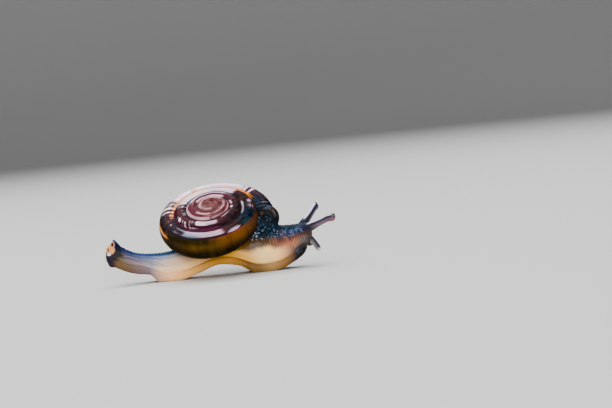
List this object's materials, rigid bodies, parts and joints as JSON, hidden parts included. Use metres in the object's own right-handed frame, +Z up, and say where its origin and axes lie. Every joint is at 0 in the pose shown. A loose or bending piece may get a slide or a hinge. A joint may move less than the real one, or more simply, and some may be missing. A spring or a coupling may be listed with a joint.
{
  "type": "striped land snail",
  "caption": "Life-size still model of a glossy striped land snail that crawls with its head and tail raised, for display on a shelf or a table.",
  "frame": {"origin": "bottom centre of the whole animal's box, on the level of the sole", "axes": "+X towards the head, +Y to the snail's left, +Z up"},
  "size_m": [0.039, 0.0168, 0.0153],
  "materials": {
    "shell": "thin glossy shell, red brown and dark with lighter bands",
    "skin": "moist skin, blue black above, cream and orange brown below",
    "eye": "wet black bead"
  },
  "bodies": {
    "root": {"shell": "shell", "mantle_collar": "skin", "tail_end": "skin", "tail": "skin", "trunk_rear": "skin", "trunk_front": "skin", "neck": "skin", "head": "skin", "foot_tail": "skin", "foot_rear": "skin", "foot_middle": "skin", "foot_front": "skin", "upper_feeler_right": "skin", "upper_feeler_left": "skin", "lower_feeler_right": "skin", "lower_feeler_left": "skin", "mouth_lobe_right": "skin", "mouth_lobe_left": "skin", "tail_horn": "skin", "eye_right": "eye", "eye_left": "eye"}
  },
  "joints": []
}
